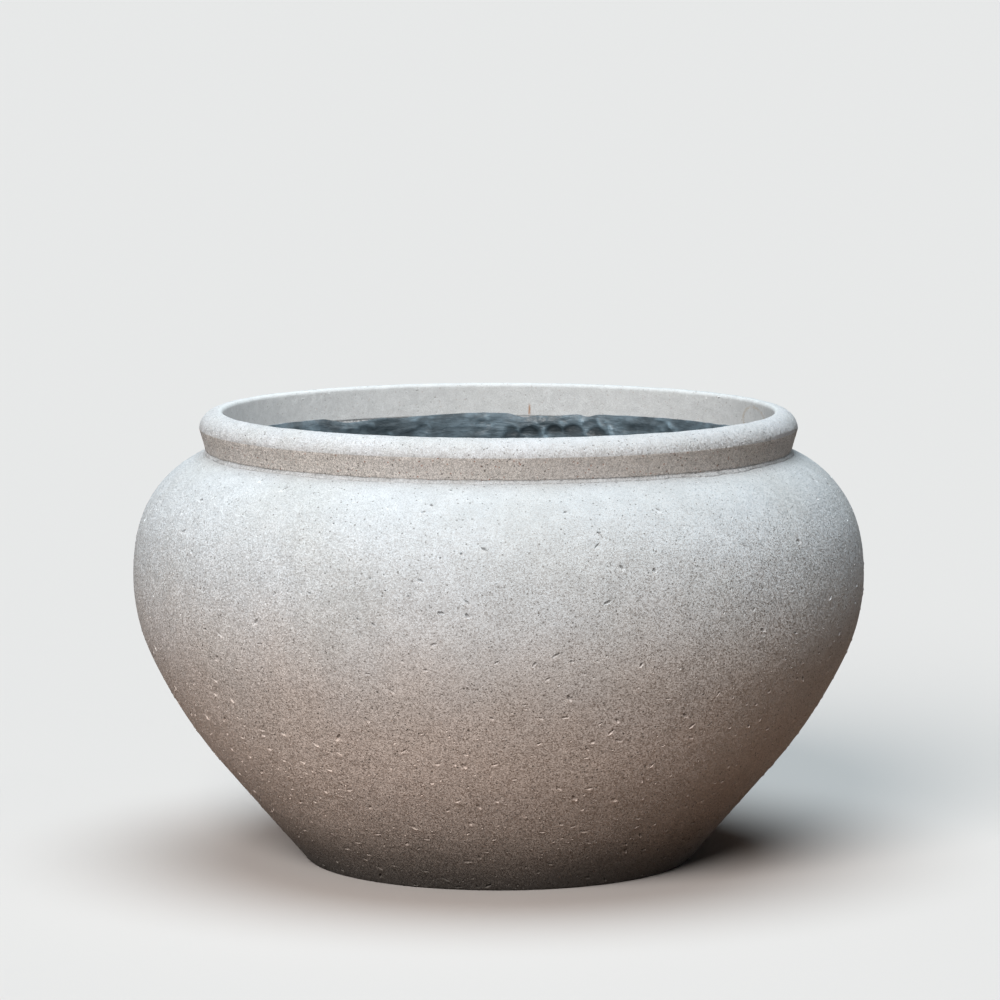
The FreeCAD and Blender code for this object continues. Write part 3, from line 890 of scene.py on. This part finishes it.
collarForm = dict(
    segments=1080, spacing=0.0018, mouthSpacing=0.0025, lipSpacing=0.0009, edgeSpacing=0.0008,
    footSpacing=0.003, rebateSpacing=0.006, lipRound=0.005, lipFlat=0.001, arrisHeight=0.0302,
    rebateRadius=0.350, outsideMargin=0.002,
    edgeReach=0.0072, edgeBlunt=0.0002, edgeBluntMore=(0.0006, 0.022, 5),
    edgeFacets=(
        (-20.0, 13.0, 0.0050), (-108.0, 7.0, 0.0026), (-62.0, 5.0, 0.0020), (38.0, 10.0, 0.0040),
        (95.0, 12.0, 0.0030), (170.0, 9.0, 0.0042), (216.0, 6.0, 0.0028),
    ),
    edgeRagged=(0.25, 0.008, 10), edgeWidth=0.0040, edgeWander=(0.0010, 0.05, 3),
    edgeWanderFine=(0.0006, 0.014, 4), edgeChip=(0.00352, 0.006, 5), edgeChipFrom=0.001056,
    footWidth=0.0025, footLevel=0.3, footRagged=(0.0008, 0.012, 6), footSwell=(0.0004, 0.007, 7),
    crownFrom=0.2, crownUneven=0.00045, bandUneven=0.0004,
    skinBroad=(1.0, 0.03, 8), skinFine=(0.5, 0.008, 9),
    seed=23,
    smallPits=420, smallRadius=(0.0006, 0.0011),
    longPits=60, longHalf=(0.0018, 0.0036), longWidth=(0.0006, 0.0010),
    slant=0.3,
    depth=(0.0005, 0.0012),
)
arrisPoint = (collarHigh.x, seatHeight + collarForm["arrisHeight"])
girth = arrisPoint[0]
bandFoot = (neckRadius, collarLow.z)
crownRadius = mouthRadius + collarForm["lipRound"] + collarForm["lipFlat"]
crownRise = collarHigh.z - arrisPoint[1]
crownCurve = ((girth - crownRadius) ** 2 + crownRise**2) / (2 * crownRise)
crownCentre = (crownRadius, collarHigh.z - crownCurve)
crownFoot = angleTo(crownCentre, arrisPoint)


def crownAt(distance):
    return along(crownCentre, crownCurve, crownFoot + distance / crownCurve)


def bandAt(distance):
    return along(arrisPoint, distance, angleTo(arrisPoint, bandFoot))


def collarRun():
    form = collarForm
    spacing = form["spacing"]
    edgeSpacing = form["edgeSpacing"]
    rounding = form["lipRound"]
    lipCentre = (mouthRadius + rounding, collarHigh.z - rounding)
    crownEdge = angleTo(crownCentre, crownAt(form["edgeReach"]))
    nearBand = bandAt(form["edgeReach"])
    rebateFoot = (form["rebateRadius"], collarLow.z)
    clockwise = joinRuns(
        lineRun((mouthRadius, bedHigh.z), (mouthRadius, lipCentre[1]), form["mouthSpacing"]),
        arcRun(lipCentre, rounding, pi, pi / 2, form["lipSpacing"]),
        arcRun(crownCentre, crownCurve, pi / 2, crownEdge, spacing),
        arcRun(crownCentre, crownCurve, crownEdge, crownFoot, edgeSpacing),
        lineRun(arrisPoint, nearBand, edgeSpacing),
        lineRun(nearBand, bandFoot, spacing),
        lineRun(bandFoot, rebateFoot, form["footSpacing"]),
        lineRun(rebateFoot, (rebateFoot[0], bedHigh.z), form["rebateSpacing"]),
    )
    return clockwise[::-1]


def near(distance, width):
    return exp(-((distance / width) ** 2))


def offBearing(angle, bearing):
    return (degrees(angle) - bearing + 180.0) % 360.0 - 180.0


def facetWidth(angle):
    blunt = max(0.0, waves(collarForm, angle, girth, 0.0, "edgeBluntMore"))
    width = collarForm["edgeBlunt"] + blunt
    ragged = 1.0 + waves(collarForm, angle, girth, 0.0, "edgeRagged")
    for bearing, spread, reach in collarForm["edgeFacets"]:
        width = max(width, reach * ragged * near(offBearing(angle, bearing), spread))
    return min(width, collarForm["edgeReach"])


def facetShift(angle, radius, height):
    width = facetWidth(angle)
    distance = dist((radius, height), arrisPoint)
    if distance >= width:
        return 0.0, 0.0
    share = 0.5 + (-0.5 if height > arrisPoint[1] else 0.5) * distance / width
    flatRadius, flatHeight = between(crownAt(width), bandAt(width), share)
    return flatRadius - radius, flatHeight - height


def collarUneven(angle, radius, height, across, upward):
    form = collarForm
    outside = 1.0 if radius > neckRadius - form["outsideMargin"] else 0.0
    swell, lift = facetShift(angle, radius, height) if outside else (0.0, 0.0)
    onEdge = near(dist((radius, height), arrisPoint), form["edgeWidth"])
    swell -= onEdge * max(0.0, waves(form, angle, girth, 0.0, "edgeChip") - form["edgeChipFrom"])
    lift += onEdge * waves(form, angle, girth, 0.0, "edgeWander", "edgeWanderFine")
    atFoot = outside * near(height - collarLow.z, form["footWidth"])
    lift += atFoot * waves(form, angle, girth, form["footLevel"], "footRagged")
    swell += atFoot * waves(form, angle, girth, form["footLevel"], "footSwell")
    rough = form["crownUneven"] if upward > form["crownFrom"] else form["bandUneven"]
    skin = waves(form, angle, radius, height, "skinBroad", "skinFine")
    skin *= rough if height > bedHigh.z or outside else 0.0
    return swell + skin * across, lift + skin * upward


collarSkin = TurnedSkin(collarRun(), collarForm["segments"], collarUneven, closed=True)
arrisRow = min(range(len(collarSkin.run)), key=lambda k: dist(collarSkin.run[k], arrisPoint))
collarPits = scatterPits(collarSkin, collarForm)
collarPiece = buildSkin("rim_collar_stone", collarSkin, collarPits, collarForm["seed"], [arrisRow])
mount(collarPiece, "planter", "collar_stone", collarStone, "rim_collar")


# Mortar pointed into the joint under the collar: a ragged fillet with smears on the shoulder
# A smear is its bearing and spread in degrees and its reach

joint = dict(
    segments=1080, inner=0.3475, gap=0.0014, gapDepth=0.0034, foot=0.0014, skim=0.0002,
    setBack=0.001,
    toe=(0.0006, 0.0004),
    bulge=(0.0006, 0.0010),
    brow=(0.0008, 0.0005),
    innerMargin=0.0012,
    ragged=(0.0005, 0.012, 12),
    crumbs=(0.0004, 0.003, 13),
    upperShare=0.4, lowTop=0.001, lowSpan=0.004, lowPower=1.5,
    spread=(0.0016, 0.04, 14), spreadFine=(0.0008, 0.007, 15),
    shrinkMost=0.0012,
    smears=(
        (-46.0, 5.0, 0.0045), (-38.0, 4.0, 0.0035), (-8.0, 9.0, 0.0020), (-121.0, 7.0, 0.0018),
        (-150.0, 10.0, 0.0020), (62.0, 8.0, 0.0040), (130.0, 9.0, 0.0030),
    ),
    smearEven=0.7, smearRagged=(0.6, 0.006, 16),
    edgeWidth=0.0008, edgeLift=(0.0009, 0.015, 17), edgeLevel=0.2,
)


def shoulderAt(radius):
    reach = radius - shoulderCentre[0]
    return shoulderCentre[1] + sqrt(shoulderCurve**2 - reach**2)


def jointRun():
    gapFoot = collarLow.z - joint["gap"]
    gapBack = neckRadius - joint["gapDepth"]
    footRadius = neckRadius + joint["foot"]
    foot = shoulderAt(footRadius)
    skim = joint["skim"]
    toeWidth, toeSink = joint["toe"]
    bulge, bulgeHeight = joint["bulge"]
    browBack, browDrop = joint["brow"]
    return [
        (joint["inner"], seatHeight + skim),
        (neckRadius - joint["setBack"], seatHeight + skim),
        (footRadius - toeWidth, foot - toeSink),
        (footRadius, foot + skim),
        (neckRadius + bulge, seatHeight + bulgeHeight),
        (neckRadius + skim, (seatHeight + gapFoot) / 2),
        (neckRadius - skim, gapFoot - browDrop),
        (neckRadius - browBack, gapFoot),
        (gapBack, gapFoot + skim),
        (gapBack - toeSink, collarLow.z + skim),
        (joint["inner"], collarLow.z + skim),
    ]


def jointUneven(angle, radius, height, across, upward):
    if radius < neckRadius - joint["innerMargin"]:
        return 0.0, 0.0
    swell = waves(joint, angle, radius, height, "ragged", "crumbs")
    low = clamped((collarLow.z + joint["lowTop"] - height) / joint["lowSpan"])
    spread = max(0.0, waves(joint, angle, neckRadius, 0.0, "spread"))
    spread += waves(joint, angle, neckRadius, 0.0, "spreadFine")
    smear = joint["smearEven"] + abs(waves(joint, angle, neckRadius, 0.0, "smearRagged"))
    for bearing, width, reach in joint["smears"]:
        spread += reach * near(offBearing(angle, bearing), width) * smear
    reach = max(spread, -joint["shrinkMost"]) * low ** joint["lowPower"]
    drop = shoulderAt(radius + reach) - shoulderAt(radius)
    gapEdge = near(height - collarLow.z + joint["gap"], joint["edgeWidth"])
    lift = gapEdge * waves(joint, angle, neckRadius, joint["edgeLevel"], "edgeLift")
    share = joint["upperShare"] + (1.0 - joint["upperShare"]) * low
    return swell * share + reach, drop + lift


jointPiece = buildSkin("mortar_pointing", TurnedSkin(jointRun(), joint["segments"], jointUneven, closed=True))
mount(jointPiece, "planter", "mortar", mortar)


# Lining: lumpy brushed coat with thumbed dabs below a wavy hand-cut upper edge
# A dip of the edge is its bearing, depth and spread, a thumb mark its bearing, height and radius

coat = dict(
    segments=960, spacing=0.012, topSpacing=0.0015, gap=0.0003, thickness=0.0033, thinnest=0.0006,
    lumps=(0.0015, 0.035, 23),
    folds=(0.0014, 0.022, 24),
    foldSquash=2.5,
    edgeFrom=0.486, edgeThin=0.0018, edgeBroad=(0.0009, 0.045, 21), edgeFine=(0.00054, 0.016, 22),
    edgeMost=0.001,
    edgeDips=(
        (124.0, 0.0064, 5.5), (112.0, 0.0042, 9.0), (84.5, 0.0056, 2.6), (78.0, 0.0036, 4.0),
        (70.0, 0.0030, 1.6), (250.0, 0.0050, 12.0), (300.0, 0.0040, 7.0), (200.0, 0.0050, 10.0),
    ),
    edgeRise=0.0004, edgeBack=0.03, seed=31, dabs=110,
    dabRadius=(0.008, 0.014), dabDepth=(0.0007, 0.0016), dabBand=(0.468, 0.503),
    dabReach=(0.448, 0.513),
    thumbRow=(
        (87.0, 0.4815, 0.0140), (83.2, 0.4867, 0.0150), (77.6, 0.4906, 0.0130),
        (73.3, 0.4873, 0.0175), (67.9, 0.4845, 0.0175),
    ),
    thumbDepth=0.0027, shadeFrom=0.35, shadeLeast=0.1,
    ridgeReach=1.65, ridge=0.4, ridgeEven=0.45, ridgeBroken=(1.6, 0.009, 25),
    holeRadius=0.0175, holeSides=40,
)


def placeDabs():
    chance = random.Random(coat["seed"])
    dabs = []
    for k in range(coat["dabs"]):
        turn = chance.uniform(0.0, tau)
        level = chance.uniform(*coat["dabBand"])
        dabs.append((turn, level, chance.uniform(*coat["dabRadius"]), chance.uniform(*coat["dabDepth"])))
    for bearing, level, reach in coat["thumbRow"]:
        dabs.append((radians(bearing), level, reach, coat["thumbDepth"]))
    return dabs


thumbDabs = placeDabs()


def edgeHeight(angle):
    level = waves(coat, angle, liningHigh.x, 0.0, "edgeBroad", "edgeFine")
    for bearing, depth, width in coat["edgeDips"]:
        level -= depth * near(offBearing(angle, bearing), width)
    return min(level, coat["edgeMost"])


# Depth of the thumbed scallops at a spot, and the painted shade in their upper part: below nothing for the
# painted highlight on the ridge that the thumb pushed up beside them

def dabAt(angle, radius, height):
    low, high = coat["dabReach"]
    sink = shade = ridge = 0.0
    widest = coat["ridgeReach"]
    if not low < height < high:
        return sink, -ridge
    for turn, level, reach, depth in thumbDabs:
        side = ((angle - turn + pi) % tau - pi) * radius
        if abs(side) >= reach * widest:
            continue
        strength = depth / coat["thumbDepth"]
        distance = hypot(side, height - level) / reach
        if distance < 1.0:
            scoop = 1.0 - distance**6
            sink += depth * scoop
            above = clamped((height - level) / reach + coat["shadeFrom"])
            shade = max(shade, scoop * above * strength)
        elif distance < widest:
            broken = coat["ridgeEven"] + waves(coat, angle, radius, height, "ridgeBroken")
            pushed = sin(pi * (distance - 1.0) / (widest - 1.0)) * max(0.0, -side / reach)
            pushed *= max(0.0, broken)
            sink -= coat["ridge"] * pushed * depth
            ridge = max(ridge, pushed * strength)
    return sink, shade if shade > coat["shadeLeast"] else -ridge


def coatUneven(angle, radius, height, across, upward):
    inward = waves(coat, angle, radius, height, "lumps")
    inward += max(0.0, waves(coat, angle, radius, height * coat["foldSquash"], "folds"))
    inward -= dabAt(angle, radius, height)[0]
    upright = clamped((height - coat["edgeFrom"]) / (liningHigh.z - coat["edgeFrom"]))
    inward -= coat["edgeThin"] * upright**6
    inward = max(inward, coat["thinnest"] - coat["thickness"])
    lift = edgeHeight(angle) * upright**2
    return -inward * across, lift - inward * upward


def buildCoat():
    inner = insideRun(coat["thickness"], liningHigh.z, coat["spacing"], coat["topSpacing"])
    segments = coat["segments"]
    step = tau / segments
    bm = bmesh.new()
    shadeLayer = bm.verts.layers.float.new("dabShadeAndHighlight")
    points = [bm.verts.new(spot) for spot in TurnedSkin(inner, segments, coatUneven).grid()]
    for k, point in enumerate(points):
        point[shadeLayer] = dabAt(step * (k % segments), *inner[k // segments])[1]
    rings = [points[k * segments:(k + 1) * segments] for k in range(len(inner))]
    backRadius = mouthRadius - coat["gap"]
    for rise in (coat["edgeRise"], -coat["edgeBack"]):
        ring = []
        for k in range(segments):
            level = liningHigh.z + edgeHeight(step * k) + rise
            ring.append(bm.verts.new((*along((0.0, 0.0), backRadius, step * k), level)))
        rings.append(ring)
    bridgeRings(bm, *rings)
    holes = []
    for centre in drainCentres():
        hole = [
            addRing(bm, centre, coat["holeRadius"], height, coat["holeSides"])
            for height in (inner[0][1], liningLow.z)
        ]
        bridgeRings(bm, *hole)
        holes.append(hole[0])
    fillBetween(bm, rings[0], holes)
    return finishMesh(bm, "lining_coat")


coatPiece = buildCoat()
mount(coatPiece, "planter", "lining_coat", liningCoat, "inner_lining")


# The bed, sleeves and plugs keep their exact forms

dress(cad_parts["collar_bedding"], mortar)
for drainName in drainBodies:
    dress(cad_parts[f"drain_sleeve_{drainName}"], sleevePlastic)
    dress(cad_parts[f"drain_plug_{drainName}"], plugRubber)
print("pieces made")


# Floor, light and camera

stageLook = dict(
    floorSize=160.0, floorRoughness=0.95,
    paleFloor=(0.73, 0.685, 0.66, 1.0),
    bounce=(0.124, 0.080, 0.055, 1.0),
    backdrop=(0.86, 0.86, 0.86, 1.0),
    fill=(0.02, 0.021, 0.022, 1.0),
    sunDistance=4.0,
    keyBearing=-21.0, keyHeight=31.0, keyStrength=2.74, keyColour=(1.0, 0.965, 0.935), keyAngle=32.0,
    topBearing=0.0, topHeight=89.0, topStrength=2.46, topColour=(0.80, 0.93, 1.0), topAngle=50.0,
    fillPlace=(0.30, 0.05, 0.85), fillAim=(-0.335, 0.10, 0.53), fillPower=8.5, fillSize=0.2,
    fillCone=64.0,
)


def seenDirectly(tree):
    rays = ("Is Camera Ray", "Is Glossy Ray", "Is Transmission Ray")
    camera, glossy, through = addNode(tree, "LightPath", rays)
    return camera.math("MAXIMUM", glossy.math("MAXIMUM", through))


def buildFloor():
    material, tree = newMaterial("paleFloor")
    colour = seenDirectly(tree).blend(stageLook["bounce"], stageLook["paleFloor"])
    setShader(tree, colour, stageLook["floorRoughness"], 0.0)
    half = stageLook["floorSize"] / 2
    corners = [(-half, -half, 0), (half, -half, 0), (half, half, 0), (-half, half, 0)]
    mesh = bpy.data.meshes.new("studio_floor")
    mesh.from_pydata(corners, [], [(0, 1, 2, 3)])
    mesh.materials.append(material)
    floor = addObject("studio_floor", mesh)


def buildWorld():
    world = bpy.data.worlds.new("studioWorld")
    world.use_nodes = True
    tree = world.node_tree
    colour = seenDirectly(tree).blend(stageLook["fill"], stageLook["backdrop"])
    feed(tree, tree.nodes["Background"].inputs["Color"], colour)
    bpy.context.scene.world = world


def aimLamp(lamp, place, backward):
    piece = addObject(lamp.name, lamp)
    piece.location = place
    piece.rotation_euler = backward.to_track_quat("Z", "Y").to_euler()


def addSun(name):
    lamp = bpy.data.lights.new(f"{name}Light", "SUN")
    lamp.energy = stageLook[name + "Strength"]
    lamp.color = stageLook[name + "Colour"]
    lamp.angle = radians(stageLook[name + "Angle"])
    turn = radians(stageLook[name + "Bearing"])
    rise = radians(stageLook[name + "Height"])
    source = Vector((sin(turn) * cos(rise), -cos(turn) * cos(rise), sin(rise)))
    aimLamp(lamp, source * stageLook["sunDistance"], source)


def addMouthFill():
    lamp = bpy.data.lights.new("mouthFill", "SPOT")
    lamp.energy = stageLook["fillPower"]
    lamp.shadow_soft_size = stageLook["fillSize"]
    lamp.spot_size = radians(stageLook["fillCone"])
    lamp.spot_blend = 1.0
    place = Vector(stageLook["fillPlace"])
    aimLamp(lamp, place, place - Vector(stageLook["fillAim"]))


cameraForm = dict(
    place=(0.0, -6.0, 1.147),
    pitch=6.70, lens=176.5, sensor=36.0, clipEnd=300.0, axisPixel=498.6, pictureWidth=1000.0,
)


def addCamera():
    data = bpy.data.cameras.new("photoCamera")
    data.lens = cameraForm["lens"]
    data.sensor_width = cameraForm["sensor"]
    data.shift_x = 0.5 - cameraForm["axisPixel"] / cameraForm["pictureWidth"]
    data.clip_end = cameraForm["clipEnd"]
    camera = addObject("photoCamera", data)
    camera.location = cameraForm["place"]
    camera.rotation_euler = (radians(90.0 - cameraForm["pitch"]), 0.0, 0.0)
    bpy.context.scene.camera = camera


buildFloor()
buildWorld()
addSun("key")
addSun("top")
addMouthFill()
addCamera()
bpy.context.scene.view_settings.view_transform = "Standard"
print("stage, lamps and camera set")
